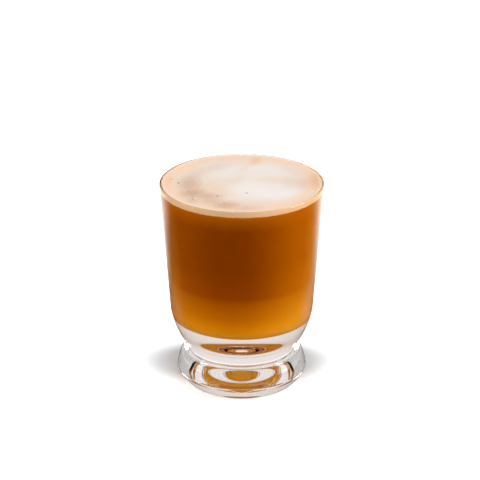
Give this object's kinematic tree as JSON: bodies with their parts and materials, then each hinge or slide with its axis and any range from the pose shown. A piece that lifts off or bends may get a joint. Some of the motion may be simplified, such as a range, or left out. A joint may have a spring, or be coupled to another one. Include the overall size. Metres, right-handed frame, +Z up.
{
  "type": "filter coffee with milk",
  "caption": "Filter coffee with milk and a thin cap of foam, served full in a clear tumbler with a short neck and a bulging foot.",
  "frame": {"origin": "centre of the ring the glass stands on, at the bottom of the foot", "axes": "+Z up along the axis of the glass; the whole is round, so +X and +Y are free"},
  "size_m": [0.082, 0.082, 0.1063],
  "materials": {
    "clear_glass": "clear, smooth and polished",
    "pale_coffee": "amber liquid",
    "dark_coffee": "dark brown liquid",
    "foam": "fine soft milk foam"
  },
  "bodies": {
    "root": {"glass": "clear_glass", "coffee_lower": "pale_coffee", "coffee_upper": "dark_coffee", "milk_foam": "foam"}
  },
  "joints": []
}
